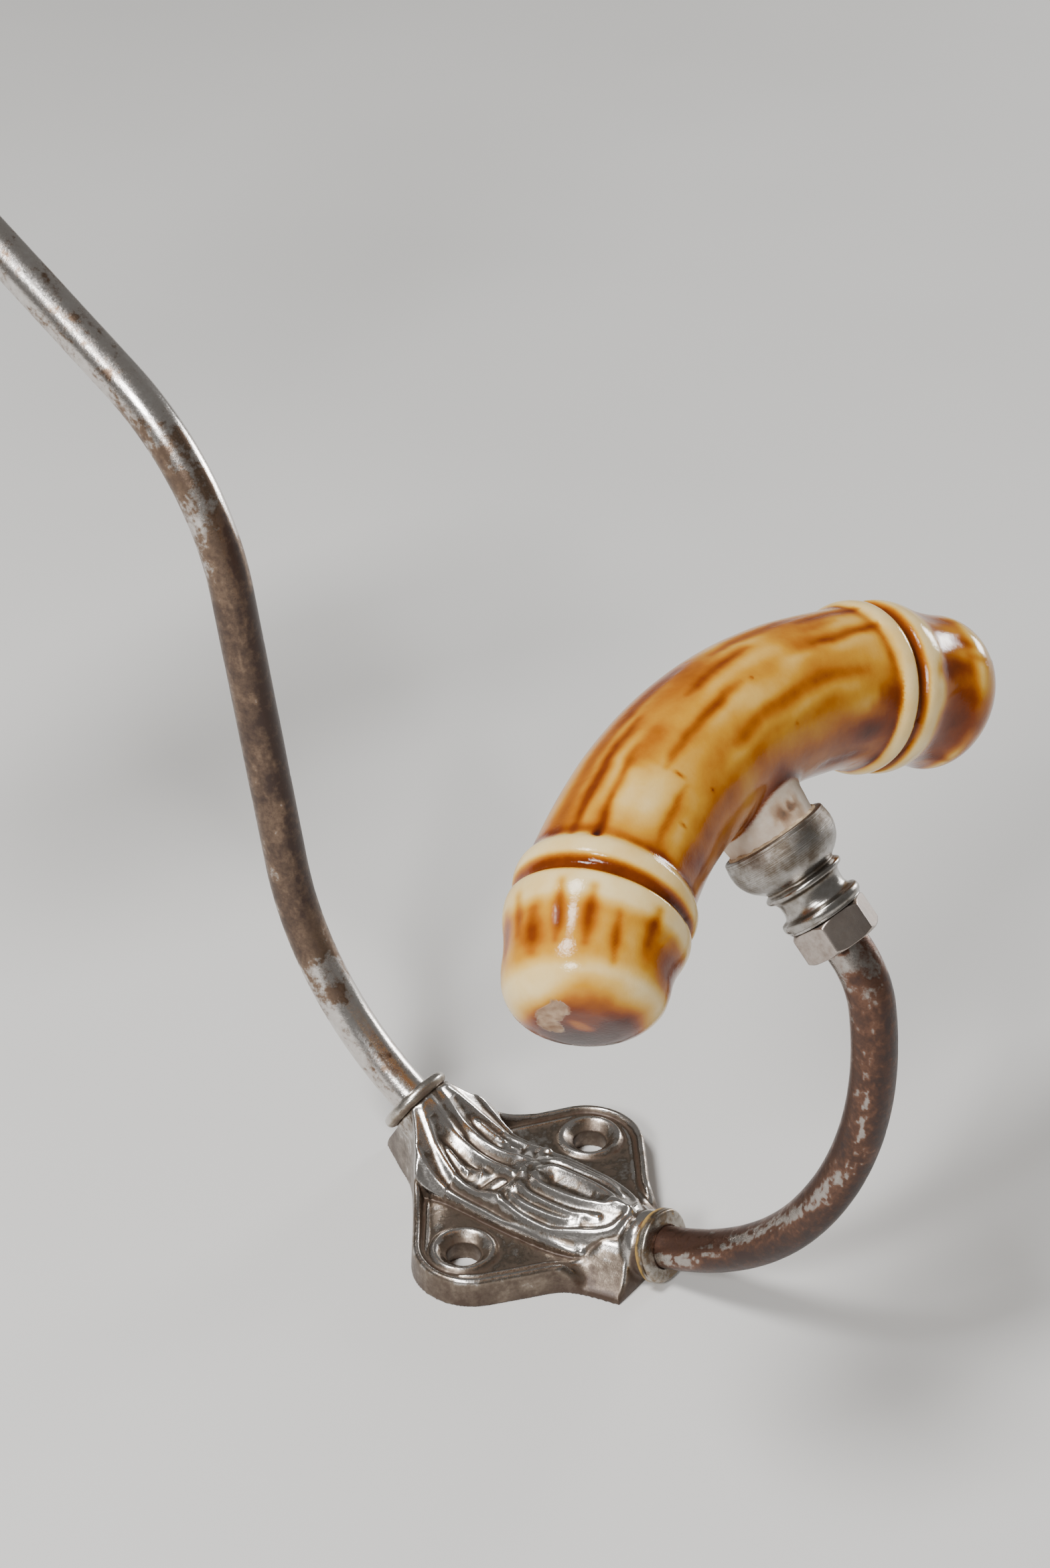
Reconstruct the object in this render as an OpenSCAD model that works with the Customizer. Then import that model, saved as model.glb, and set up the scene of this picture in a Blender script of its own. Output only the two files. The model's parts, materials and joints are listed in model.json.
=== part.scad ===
// Wall-mounted hat and coat hook with bent ceramic handle bars.
// Frame: origin at the centre of the wall plate's back face, +Z out of the wall,
// +Y up the wall towards the hat arm, +X to the right as seen by someone facing the wall.
// Both arms lie in the plane X = 0. Millimetres and degrees.

/* [Wall plate] */
// Thickness of the flat part of the plate
plate_t = 5; // [4:0.5:7]
// Radius of the two rounded screw lobes
lobe_r = 10.2; // [9:0.1:11]
// Distance from the centre line to the centre of each lobe
lobe_x = 15.3; // [14:0.1:17]
// How far the lobes sit below the origin
lobe_drop = 0.7; // [0:0.1:2]
// Height of the pointed top of the plate above the origin
top_y = 30; // [28:0.5:34]
// Distance of the fishtail's lower edge below the origin
tail_y = 25.5; // [24:0.5:27]
// Half width of the fishtail's lower edge
tail_half_w = 10; // [8:0.5:11]

/* [Screw holes] */
// Distance between the two wood-screw holes
screw_spacing = 35; // [32:0.5:38]
// Diameter of each screw hole
screw_d = 5.6; // [4:0.1:6]
// Diameter of each countersink at the top
countersink_d = 8.6; // [7:0.1:9]
// Diameter of the raised boss round each hole
boss_d = 10.4; // [10:0.1:11.5]
// Depth of the sunk field round each boss
field_depth = 0.9; // [0.3:0.1:1.5]

/* [Rods] */
// Diameter of both rods and of their threads
rod_d = 7; // [6.5:0.1:7.2]

/* [Hat arm] */
// Height of the arm's starting point above the wall
hat_z = 12.2; // [11.5:0.1:14]
// Height of the arm's starting point up the plate
hat_y = 22; // [21:0.5:23]
// Angle between the upper socket and the wall
hat_angle = 34; // [30:1:38]
// Straight length before the first bend
hat_lead = 3; // [2.8:0.1:6]
// Length of rod in the first bend, which turns out from the wall
hat_bend1_len = 46; // [40:1:55]
// Angle of the first bend
hat_bend1_turn = 47.5; // [40:0.5:52]
// Straight length between the two bends
hat_run = 49; // [40:1:60]
// Length of rod in the second bend, which turns up again
hat_bend2_len = 39; // [30:1:45]
// Angle of the second bend
hat_bend2_turn = 47; // [40:1:55]
// Straight length from the second bend to the middle of the handle bar
hat_tail = 104; // [60:1:120]

/* [Coat arm] */
// Height of the arm's starting point above the wall
coat_z = 5.3; // [5.2:0.1:6]
// Distance of the arm's starting point below the origin
coat_y = 24; // [23.5:0.5:25]
// Angle between the lower socket and the wall
coat_angle = 16.4; // [14:0.2:20]
// Straight length before the first bend
coat_lead = 4; // [4:0.1:6]
// Length of rod in the first bend
coat_bend1_len = 33.7; // [30:0.1:40]
// Angle of the first bend
coat_bend1_turn = 40.7; // [36:0.1:44]
// Length of rod in the second bend
coat_bend2_len = 46.3; // [40:0.1:55]
// Angle of the second bend
coat_bend2_turn = 41.6; // [36:0.1:44]
// Length of rod in the tight bend below the nut
coat_bend3_len = 9.2; // [8:0.1:14]
// Angle of the tight bend
coat_bend3_turn = 33.8; // [28:0.1:38]
// Straight length from the last bend to the middle of the handle bar
coat_tail = 36.3; // [36:0.1:42]

/* [Handle bar] */
// Length of the ceramic bar along its curve
bar_len = 111; // [100:1:120]
// Radius of the bar's curve, along its centre line
bar_bend_r = 75.4; // [65:0.1:100]
// Diameter of the bar between its beads
bar_d = 23.7; // [22:0.1:24]
// Diameter over the beads
bead_d = 26.2; // [25:0.1:27]
// Distance from the middle of the bar to the groove between two beads
groove_at = 36.7; // [34:0.1:38]
// Radius of the rounding at the bar's ends
bar_end_round = 6.3; // [5:0.1:7]

/* [Ferrule and nut] */
// Distance from the middle of the bar to the rim of the ferrule's cup
cup_rim_at = 15.9; // [15:0.1:17]
// Depth inside the cup
cup_depth = 5.3; // [5:0.1:5.5]
// Radius inside the cup
cup_r = 7.3; // [7:0.1:7.4]
// Distance from the middle of the bar to the ferrule's lower end
ferrule_end_at = 29.7; // [29.6:0.1:30]
// Size of the hexagon nut across its flats
nut_flats = 11; // [10.5:0.1:12]
// Height of the nut
nut_h = 5; // [4.5:0.1:6]

/* [Hidden] */
$fn = 96;

rod_r = rod_d / 2;
running_gap = 0.05;         // radial clearance of a ring, ferrule or nut on its rod
bore_r = rod_r + running_gap;
nut_gap = 0.15;             // slack between the ferrule and its nut
hull_fn = 32;

// Each arm is a chain of [length, turn] pieces in the plane X = 0. A turn of 0 is straight.
hat_origin = [hat_y, hat_z];
hat_chain = [[hat_lead, 0], [hat_bend1_len, hat_bend1_turn], [hat_run, 0],
             [hat_bend2_len, -hat_bend2_turn], [hat_tail, 0]];
coat_origin = [-coat_y, coat_z];
coat_heading = 180 - coat_angle;
coat_chain = [[coat_lead, 0], [coat_bend1_len, -coat_bend1_turn],
              [coat_bend2_len, -coat_bend2_turn], [coat_bend3_len, -coat_bend3_turn],
              [coat_tail, 0]];

hat_socket_depth = 6;       // rod inside the plate, behind the arm's starting point
coat_socket_depth = 5;
hat_mouth = 0.4;            // casting's end face, ahead of the arm's starting point
coat_mouth = 1.7;
ring_t = 2.3;
hat_ring_r = 6.4;
coat_ring_r = 5.8;
rod_tip_at = 18;            // distance from the rod's tip to the middle of the bar
sleeve_t = 0.03;
sleeve_len = 0.8;

neck_top_r = 7.7;
neck_r = 6.95;
plug_r = 6.5;
plug_len = 4.3;
blind_r = 4.1;              // blind hole in the ceramic, round the rod's tip
bar_r = bar_d / 2;
cap_at = bar_len / 2 - bar_end_round;

// Direction of a heading, and the point that one chain piece leads to
function dir(a) = [cos(a), sin(a)];
function bend_r(piece) = piece[0] / (abs(piece[1]) * PI / 180);
function centre(p, a, piece) = p + sign(piece[1]) * bend_r(piece) * dir(a + 90);
function step_end(p, a, piece) = piece[1] == 0
    ? p + piece[0] * dir(a)
    : centre(p, a, piece) - sign(piece[1]) * bend_r(piece) * dir(a + piece[1] + 90);
function chain_end(p, a, chain, i = 0) = i == len(chain)
    ? p
    : chain_end(step_end(p, a, chain[i]), a + chain[i][1], chain, i + 1);
function chain_heading(a, chain, i = 0) = i == len(chain)
    ? a
    : chain_heading(a + chain[i][1], chain, i + 1);

hat_end = chain_end(hat_origin, hat_angle, hat_chain);
hat_end_heading = chain_heading(hat_angle, hat_chain);
coat_end = chain_end(coat_origin, coat_heading, coat_chain);
coat_end_heading = chain_heading(coat_heading, coat_chain);

// Children drawn in the plane's own X and Y go to the row's Y and Z
module in_arm_plane() rotate([90, 0, 90]) children();

// Children drawn round +Z go to a point of the arm plane, with +Z along the heading
module along(p, heading) translate([0, p[0], p[1]]) rotate([heading - 90, 0, 0]) children();

module both_sides() {
    children();
    mirror([1, 0, 0]) children();
}

// ---- wall plate ----

module outline() {
    upper = [lobe_x, -lobe_drop] + lobe_r * dir(52);
    lower = [lobe_x, -lobe_drop] + lobe_r * dir(-50);
    both_sides() {
        translate([lobe_x, -lobe_drop]) circle(r = lobe_r);
        polygon([[0, top_y], [6.5, 19.8], upper, [lobe_x, -lobe_drop], lower,
                 [12, -17.2], [tail_half_w, -tail_y], [0, -tail_y]]);
    }
}

module upper_neck() hull() {
    linear_extrude(2) polygon([[0, top_y - 1.5], [-7, 18], [-9, 6], [9, 6], [7, 18]]);
    along(hat_origin - hat_socket_depth * dir(hat_angle), hat_angle)
        cylinder(h = hat_socket_depth + hat_mouth, r = 5.6, $fn = hull_fn);
}

module lower_neck() hull() {
    linear_extrude(2) polygon([[tail_half_w, -tail_y], [11.5, -17.2], [8, -6],
                               [-8, -6], [-11.5, -17.2], [-tail_half_w, -tail_y]]);
    along(coat_origin - 10 * dir(coat_heading), coat_heading)
        cylinder(h = 10 + coat_mouth, r = 5.2, $fn = hull_fn);
}

module spine() hull() {
    translate([0, 6, 2.5]) sphere(r = 6, $fn = hull_fn);
    translate([0, -14.5, 5]) sphere(r = 6, $fn = hull_fn);
}

module screw_cut() {
    translate([0, 0, plate_t - field_depth]) difference() {
        cylinder(h = 20, r = 7.2);
        translate([0, 0, -1]) cylinder(h = 1 + field_depth, d = boss_d);
    }
    translate([0, 0, -1]) cylinder(h = 20, d = screw_d);
    translate([0, 0, plate_t - 1.8]) cylinder(h = 1.8, d1 = screw_d, d2 = countersink_d);
}

module wall_plate() color([0.55, 0.52, 0.48]) difference() {
    union() {
        linear_extrude(plate_t) outline();
        intersection() {
            union() {
                upper_neck();
                lower_neck();
                spine();
            }
            translate([-50, -50, 0]) cube([100, 100, 50]);
        }
    }
    both_sides() translate([screw_spacing / 2, 0, 0]) screw_cut();
    along(hat_origin - hat_socket_depth * dir(hat_angle), hat_angle)
        cylinder(h = hat_socket_depth + 20, r = rod_r);
    along(coat_origin - coat_socket_depth * dir(coat_heading), coat_heading)
        cylinder(h = coat_socket_depth + 20, r = rod_r);
}

// ---- arms ----

// One straight or bent piece of round rod in the arm plane
module rod_piece(p, a, piece) {
    if (piece[1] == 0) {
        translate(p) rotate(a) rotate([0, 90, 0]) cylinder(h = piece[0], r = rod_r);
    } else {
        translate(centre(p, a, piece))
            rotate(piece[1] > 0 ? a - 90 : a + 90 + piece[1])
                rotate_extrude(angle = abs(piece[1]))
                    translate([bend_r(piece), 0]) circle(r = rod_r);
    }
}

// A hair-thin sleeve over the joint between two pieces, so that they fuse into one solid
module joint_sleeve(p, a) translate(p) rotate(a) rotate([0, 90, 0])
    cylinder(h = sleeve_len, r = rod_r + sleeve_t, center = true);

module rod_chain(p, a, chain, i = 0) {
    if (i < len(chain)) {
        if (i > 0) joint_sleeve(p, a);
        rod_piece(p, a, chain[i]);
        rod_chain(step_end(p, a, chain[i]), a + chain[i][1], chain, i + 1);
    }
}

// A rod with its end in the socket and its last piece cut short of the bar's middle
module arm(p, a, chain, socket_depth) {
    last = len(chain) - 1;
    first = [chain[0][0] + socket_depth, 0];
    rod = [for (i = [0 : last])
        i == 0 ? first : i == last ? [chain[last][0] - rod_tip_at, 0] : chain[i]];
    in_arm_plane() rod_chain(p - socket_depth * dir(a), a, rod);
}

module hat_arm() color([0.62, 0.58, 0.53])
    arm(hat_origin, hat_angle, hat_chain, hat_socket_depth);

module coat_arm() color([0.45, 0.36, 0.30])
    arm(coat_origin, coat_heading, coat_chain, coat_socket_depth);

// ---- socket rings ----

module socket_ring(outer_r) rotate_extrude() {
    bead_r = ring_t / 2;
    translate([bore_r, 0]) square([outer_r - bead_r - bore_r, ring_t]);
    translate([outer_r - bead_r, bead_r]) circle(r = bead_r);
}

module hat_socket_ring() color([0.70, 0.67, 0.62])
    along(hat_origin + hat_mouth * dir(hat_angle), hat_angle) socket_ring(hat_ring_r);

module coat_socket_ring() color([0.66, 0.58, 0.42])
    along(coat_origin + coat_mouth * dir(coat_heading), coat_heading) socket_ring(coat_ring_r);

// ---- ferrule, nut, cement and ceramic: drawn round +Z, with the bar's middle at the origin ----

module cup_cavity_2d() polygon([
    [0, -cup_rim_at], [cup_r, -cup_rim_at], [cup_r, -cup_rim_at - cup_depth + 2.2],
    [cup_r - 2.1, -cup_rim_at - cup_depth], [0, -cup_rim_at - cup_depth]]);

module plug_2d() polygon([
    [0, -cup_rim_at], [plug_r, -cup_rim_at], [plug_r, -cup_rim_at - plug_len + 1.3],
    [plug_r - 1.3, -cup_rim_at - plug_len], [0, -cup_rim_at - plug_len]]);

module ferrule() rotate_extrude() difference() {
    union() {
        // cup: a bulging wall between the rim and the first bead
        intersection() {
            union() {
                translate([2.6, -18]) circle(r = 5.9);
                translate([0, -23.4]) square([2.6, 23.4 - cup_rim_at]);
            }
            translate([0, -23.4]) square([20, 23.4 - cup_rim_at]);
        }
        translate([5.1, -24.0]) circle(r = 0.75);
        // waist between the beads
        difference() {
            translate([0, -ferrule_end_at]) square([5.6, ferrule_end_at - 23]);
            translate([7.95, -26.3]) circle(r = 2.9);
        }
        translate([5.45, -28.6]) circle(r = 0.75);
    }
    cup_cavity_2d();
    translate([0, -40]) square([bore_r, 40]);
}

module cement() rotate_extrude() difference() {
    cup_cavity_2d();
    plug_2d();
    translate([0, -40]) square([blind_r, 40]);
}

module lock_nut() translate([0, 0, -ferrule_end_at - nut_gap - nut_h]) difference() {
    corner_r = nut_flats / 2 / cos(30);
    flat_r = nut_flats / 2;
    chamfer = corner_r - flat_r + 0.15;
    drop = chamfer * tan(35);
    intersection() {
        cylinder(h = nut_h, r = corner_r, $fn = 6);
        rotate_extrude() polygon([
            [0, 0], [corner_r - chamfer, 0], [corner_r, drop],
            [corner_r, nut_h - drop], [corner_r - chamfer, nut_h], [0, nut_h]]);
    }
    translate([0, 0, -1]) cylinder(h = nut_h + 2, r = bore_r);
}

// Children drawn round +Z at the bar's middle go to arc length t, with +Z along the bar
module on_bar(t) translate([0, 0, -bar_bend_r]) rotate([0, t / bar_bend_r * 180 / PI, 0])
    translate([0, 0, bar_bend_r]) rotate([0, 90, 0]) children();

module bar_bead() rotate_extrude()
    translate([bead_d / 2 - 2.7, 0]) circle(r = 2.7);

// The rounded end starts just inside the bar and is a hair larger, so that the two fuse
module bar_cap() rotate_extrude() {
    flat_r = bar_r - bar_end_round;
    translate([0, -0.5]) square([flat_r, bar_end_round + 0.5]);
    translate([flat_r, -0.5]) square([bar_end_round + sleeve_t, 0.5]);
    translate([flat_r, 0]) intersection() {
        circle(r = bar_end_round + sleeve_t);
        square([bar_end_round + sleeve_t, bar_end_round]);
    }
}

module ceramic_handle() difference() {
    half_angle = cap_at / bar_bend_r * 180 / PI;
    union() {
        translate([0, 0, -bar_bend_r]) rotate([90, 0, 0]) rotate(90 - half_angle)
            rotate_extrude(angle = 2 * half_angle)
                translate([bar_bend_r, 0]) circle(r = bar_r);
        both_sides() {
            for (t = [groove_at - 2.2, groove_at + 2.2]) on_bar(t) bar_bead();
            on_bar(cap_at) bar_cap();
        }
        translate([0, 0, -cup_rim_at])
            cylinder(h = cup_rim_at - 6, r1 = neck_r, r2 = neck_top_r);
        rotate_extrude() plug_2d();
    }
    translate([0, 0, -30]) cylinder(h = 15, r = blind_r);
}

module hat_ferrule() color([0.68, 0.65, 0.60]) along(hat_end, hat_end_heading) ferrule();
module hat_lock_nut() color([0.72, 0.68, 0.63]) along(hat_end, hat_end_heading) lock_nut();
module hat_handle() color([0.80, 0.55, 0.20]) along(hat_end, hat_end_heading) ceramic_handle();
module hat_handle_cement() color([0.82, 0.76, 0.64]) along(hat_end, hat_end_heading) cement();

module coat_ferrule() color([0.68, 0.65, 0.60]) along(coat_end, coat_end_heading) ferrule();
module coat_lock_nut() color([0.72, 0.68, 0.63]) along(coat_end, coat_end_heading) lock_nut();
module coat_handle() color([0.80, 0.55, 0.20]) along(coat_end, coat_end_heading) ceramic_handle();
module coat_handle_cement() color([0.82, 0.76, 0.64]) along(coat_end, coat_end_heading) cement();

wall_plate();
hat_arm();
coat_arm();
hat_socket_ring();
coat_socket_ring();
hat_ferrule();
hat_lock_nut();
hat_handle();
hat_handle_cement();
coat_ferrule();
coat_lock_nut();
coat_handle();
coat_handle_cement();
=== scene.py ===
import json
import math

import bpy
import numpy as np
from mathutils import Matrix, Vector


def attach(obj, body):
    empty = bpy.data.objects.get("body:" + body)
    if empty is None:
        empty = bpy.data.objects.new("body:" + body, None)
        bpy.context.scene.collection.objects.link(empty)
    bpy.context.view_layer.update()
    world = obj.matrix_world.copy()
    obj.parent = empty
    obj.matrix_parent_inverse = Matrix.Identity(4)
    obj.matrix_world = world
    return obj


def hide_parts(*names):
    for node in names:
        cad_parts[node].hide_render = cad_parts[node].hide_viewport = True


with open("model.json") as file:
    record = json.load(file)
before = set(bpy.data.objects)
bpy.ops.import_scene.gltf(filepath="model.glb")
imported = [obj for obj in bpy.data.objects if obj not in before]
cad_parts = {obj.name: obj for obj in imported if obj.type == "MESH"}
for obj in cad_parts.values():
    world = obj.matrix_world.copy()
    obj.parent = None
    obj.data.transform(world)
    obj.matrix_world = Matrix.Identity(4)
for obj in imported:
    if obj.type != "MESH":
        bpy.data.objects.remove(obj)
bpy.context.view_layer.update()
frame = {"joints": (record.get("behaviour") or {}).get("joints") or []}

# Shapes are worked out in millimetres, in numpy, and become metres when a mesh is made.
MM = 0.001

# ---- numeric tools ----


def smooth_step(x, low, high):
    t = np.clip((x - low) / (high - low), 0, 1)
    return t * t * (3 - 2 * t)


def smooth_max(a, b, k):
    h = np.clip(0.5 + 0.5 * (a - b) / k, 0, 1)
    return b + (a - b) * h + k * h * (1 - h)


def smooth_min(a, b, k):
    return -smooth_max(-a, -b, k)


def hash01(x, y, z, seed):
    """A repeatable value from 0 to 1 for each lattice point."""
    n = (x * 374761393 + y * 668265263 + z * 1440662683 + seed * 1274126177) & 0xFFFFFFFF
    n = ((n ^ (n >> 13)) * 1274126177) & 0xFFFFFFFF
    return (n ^ (n >> 16)) / 4294967296.0


def noise(points, cell, seed):
    """Smooth value noise from -1 to 1 with features of about one cell."""
    p = points / cell
    base = np.floor(p).astype(np.int64)
    f = p - base
    f = f * f * (3 - 2 * f)
    total = 0
    for dx in (0, 1):
        for dy in (0, 1):
            for dz in (0, 1):
                weight = ((f[..., 0] if dx else 1 - f[..., 0]) * (f[..., 1] if dy else 1 - f[..., 1])
                          * (f[..., 2] if dz else 1 - f[..., 2]))
                total = total + weight * hash01(base[..., 0] + dx, base[..., 1] + dy, base[..., 2] + dz, seed)
    return 2 * total - 1


def spline(points, per=8):
    """Catmull-Rom curve through the points."""
    p = np.array(points, float)
    p = np.vstack([2 * p[0] - p[1], p, 2 * p[-1] - p[-2]])
    t = (np.arange(per) / per)[:, None]
    runs = [0.5 * (2 * b + (c - a) * t + (2 * a - 5 * b + 4 * c - d) * t ** 2
                   + (3 * b - a - 3 * c + d) * t ** 3)
            for a, b, c, d in zip(p[:-3], p[1:-2], p[2:-1], p[3:])]
    return np.vstack(runs + [p[-2:-1]])


def curve(value, table):
    """Smooth interpolation in a short table of (place, value)."""
    points = spline(table, 12)
    return np.interp(value, points[:, 0], points[:, 1])


def path_distance(points, path):
    """Distance to a polyline, and how far along it (0 to 1) the nearest point is."""
    best = np.full(points.shape[:-1], 1e9)
    where = np.zeros(points.shape[:-1])
    steps = path[1:] - path[:-1]
    lengths = np.linalg.norm(steps, axis=1)
    starts = np.concatenate([[0], np.cumsum(lengths)[:-1]])
    for a, step, length, start in zip(path[:-1], steps, lengths, starts):
        t = np.clip(((points - a) @ step) / (length * length), 0, 1)
        d = np.linalg.norm(points - a - t[..., None] * step, axis=-1)
        near = d < best
        best = np.where(near, d, best)
        where = np.where(near, (start + t * length) / lengths.sum(), where)
    return best, where


def gradient(field, points, step=0.05):
    columns = []
    for k in range(3):
        shift = np.zeros(3)
        shift[k] = step
        columns.append((field(points + shift) - field(points - shift)) / (2 * step))
    return np.stack(columns, -1)


def mesh_from_field(field, low, high, pitch, rounds=3):
    """Surface-nets quads of field = 0 (negative inside), relaxed and drawn back onto the surface."""
    axes = [np.arange(a, b + pitch, pitch) for a, b in zip(low, high)]
    shape = [len(a) for a in axes]
    inside = np.empty(shape, bool)
    yy, zz = np.meshgrid(axes[1], axes[2], indexing="ij")
    for i, x in enumerate(axes[0]):
        inside[i] = field(np.stack([np.full(yy.shape, x), yy, zz], -1)) < 0
    corners = np.zeros([n - 1 for n in shape], np.int8)
    for dx in (0, 1):
        for dy in (0, 1):
            for dz in (0, 1):
                corners += inside[dx:shape[0] - 1 + dx, dy:shape[1] - 1 + dy, dz:shape[2] - 1 + dz]
    active = (corners > 0) & (corners < 8)
    number = np.full(active.shape, -1, np.int64)
    number[active] = np.arange(active.sum())
    cells = np.argwhere(active)
    points = np.array(low) + pitch * (cells + 0.5)
    quads = []
    for axis in range(3):
        u, v = (axis + 1) % 3, (axis + 2) % 3
        a = np.moveaxis(inside, (axis, u, v), (0, 1, 2))
        cell = np.moveaxis(number, (axis, u, v), (0, 1, 2))
        change = a[1:, 1:-1, 1:-1] != a[:-1, 1:-1, 1:-1]
        i, j, k = np.nonzero(change)
        outward = a[i, j + 1, k + 1]
        ring = np.stack([cell[i, j, k], cell[i, j + 1, k], cell[i, j + 1, k + 1], cell[i, j, k + 1]], 1)
        ring[~outward] = ring[~outward][:, ::-1]
        quads.append(ring)
    quads = np.vstack(quads)

    def settle(p):
        value = field(p)[:, None]
        slope = gradient(field, p)
        move = -value * slope / np.maximum((slope * slope).sum(1, keepdims=True), 0.05)
        return p + np.clip(move, -pitch, pitch)

    edges = np.vstack([quads[:, [0, 1]], quads[:, [1, 2]], quads[:, [2, 3]], quads[:, [3, 0]]])
    points = settle(settle(points))
    for _ in range(rounds):
        total = np.zeros_like(points)
        count = np.bincount(edges.ravel(), minlength=len(points))[:, None]
        for k in range(3):
            total[:, k] = (np.bincount(edges[:, 0], points[edges[:, 1], k], len(points))
                           + np.bincount(edges[:, 1], points[edges[:, 0], k], len(points)))
        points = settle(0.4 * points + 0.6 * total / count)
    return points, quads


# ---- pieces ----


def add_piece(name, points, faces, material, body, nodes, values=None):
    """A mesh piece from millimetre points, with its vertex values, on a CAD body."""
    mesh = bpy.data.meshes.new(name)
    mesh.from_pydata((np.asarray(points) * MM).tolist(), [], [list(map(int, f)) for f in faces])
    mesh.polygons.foreach_set("use_smooth", [True] * len(mesh.polygons))
    for key, value in (values or {}).items():
        layer = mesh.attributes.new(key, "FLOAT", "POINT")
        layer.data.foreach_set("value", np.asarray(value, np.float32))
    mesh.validate()
    piece = bpy.data.objects.new(name, mesh)
    bpy.context.scene.collection.objects.link(piece)
    mesh.materials.append(material)
    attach(piece, body)
    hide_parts(*nodes)
    return piece


def grid_faces(rows, columns, close_rows=False):
    """Quads of a grid of rows x columns points, closed round the columns and, if asked, the rows."""
    i = np.arange(rows if close_rows else rows - 1)[:, None]
    j = np.arange(columns)[None, :]
    a = i * columns + j
    b = i * columns + (j + 1) % columns
    c = ((i + 1) % rows) * columns + (j + 1) % columns
    d = ((i + 1) % rows) * columns + j
    return np.stack([a, b, c, d], -1).reshape(-1, 4)


def joint_axes(name):
    """A joint's place in millimetres, and its frame: X, the cross direction and the joint's axis."""
    joint = next(j for j in frame["joints"] if j["name"] == name)
    z = np.array(joint["axis"], float)
    z /= np.linalg.norm(z)
    x = np.array([1.0, 0, 0])
    return np.array(joint["pos_m"], float) / MM, np.stack([x, np.cross(z, x), z])


def place(points, origin, axes):
    return origin + points @ axes


# ---- materials ----


class Nodes:
    """A short way to write a material's node tree."""

    def __init__(self, name):
        self.material = bpy.data.materials.new(name)
        self.material.use_nodes = True
        self.tree = self.material.node_tree
        self.shader = self.tree.nodes["Principled BSDF"]

    def add(self, kind, inputs=None, **settings):
        node = self.tree.nodes.new(kind)
        for key, value in settings.items():
            setattr(node, key, value)
        for key, value in (inputs or {}).items():
            self.set(node.inputs[key], value)
        return node

    def set(self, socket, value):
        if isinstance(value, bpy.types.NodeSocket):
            self.tree.links.new(value, socket)
        else:
            socket.default_value = value

    def math(self, operation, *values, clamp=False):
        node = self.add("ShaderNodeMath", operation=operation, use_clamp=clamp)
        for socket, value in zip(node.inputs, values):
            self.set(socket, value)
        return node.outputs[0]

    def noise(self, scale, detail=4, roughness=0.55, vector=None):
        node = self.add("ShaderNodeTexNoise", {"Scale": scale, "Detail": detail, "Roughness": roughness})
        self.set(node.inputs["Vector"], vector or self.place())
        return node.outputs["Fac"]

    def place(self):
        """The point's place in the object's own metres."""
        return self.add("ShaderNodeTexCoord").outputs["Object"]

    def attribute(self, name):
        return self.add("ShaderNodeAttribute", attribute_name=name).outputs["Fac"]

    def range(self, value, low, high, to_low=0.0, to_high=1.0):
        node = self.add("ShaderNodeMapRange", {"From Min": low, "From Max": high,
                                               "To Min": to_low, "To Max": to_high})
        self.set(node.inputs["Value"], value)
        return node.outputs["Result"]

    def ramp(self, value, stops):
        node = self.add("ShaderNodeValToRGB")
        while len(node.color_ramp.elements) < len(stops):
            node.color_ramp.elements.new(0.5)
        for element, (at, colour) in zip(node.color_ramp.elements, stops):
            element.position = at
            element.color = (*colour, 1)
        self.set(node.inputs["Fac"], value)
        return node.outputs["Color"]

    def mix(self, factor, a, b):
        node = self.add("ShaderNodeMix", data_type="RGBA")
        self.set(node.inputs["Factor"], factor)
        for key, value in (("A", a), ("B", b)):
            socket = next(s for s in node.inputs if s.name == key and s.type == "RGBA")
            self.set(socket, value if isinstance(value, bpy.types.NodeSocket) else (*value, 1))
        return next(s for s in node.outputs if s.type == "RGBA")

    def bump(self, height, distance, strength=1.0, normal=None):
        node = self.add("ShaderNodeBump", {"Distance": distance, "Strength": strength})
        self.set(node.inputs["Height"], height)
        if normal:
            self.set(node.inputs["Normal"], normal)
        return node.outputs["Normal"]

    def finish(self, **inputs):
        for key, value in inputs.items():
            socket = self.shader.inputs[key.replace("_", " ")]
            if isinstance(value, tuple):
                value = (*value, 1)
            self.set(socket, value)
        return self.material


def glaze_material():
    """Amber majolica glaze: its colour follows the glaze's depth, over an unglazed bisque neck."""
    m = Nodes("amber_glaze")
    fine = m.noise(700, 3)
    cloud = m.noise(160, 4)
    depth = m.math("ADD", m.attribute("glaze"), m.range(cloud, 0.3, 0.7, -0.05, 0.05))
    depth = m.math("ADD", depth, m.range(fine, 0.3, 0.7, -0.012, 0.012), clamp=True)
    colour = m.ramp(depth, [(0.0, (0.87, 0.67, 0.33)), (0.2, (0.74, 0.46, 0.11)), (0.4, (0.58, 0.27, 0.018)),
                            (0.56, (0.40, 0.12, 0.004)), (0.72, (0.19, 0.036, 0.002)),
                            (0.86, (0.065, 0.009, 0.0015)), (1.0, (0.018, 0.004, 0.002))])
    stain = m.noise(330, 5, 0.65)
    bisque = m.ramp(m.math("ADD", m.attribute("stain"), m.range(stain, 0.3, 0.7, -0.15, 0.15)),
                    [(0.0, (0.74, 0.66, 0.56)), (0.4, (0.53, 0.38, 0.26)), (0.75, (0.26, 0.15, 0.09)),
                     (1.0, (0.10, 0.07, 0.05))])
    bare = m.attribute("bare")
    colour = m.mix(bare, colour, bisque)
    roughness = m.range(bare, 0, 1, 0.09, 0.85)
    grain = m.bump(m.noise(2600, 4), 0.00006, 0.5)
    ripple = m.bump(m.noise(240, 2), 0.00025, 0.3, grain)
    return m.finish(Base_Color=colour, Roughness=roughness, Normal=ripple, Specular_IOR_Level=0.3)


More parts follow.
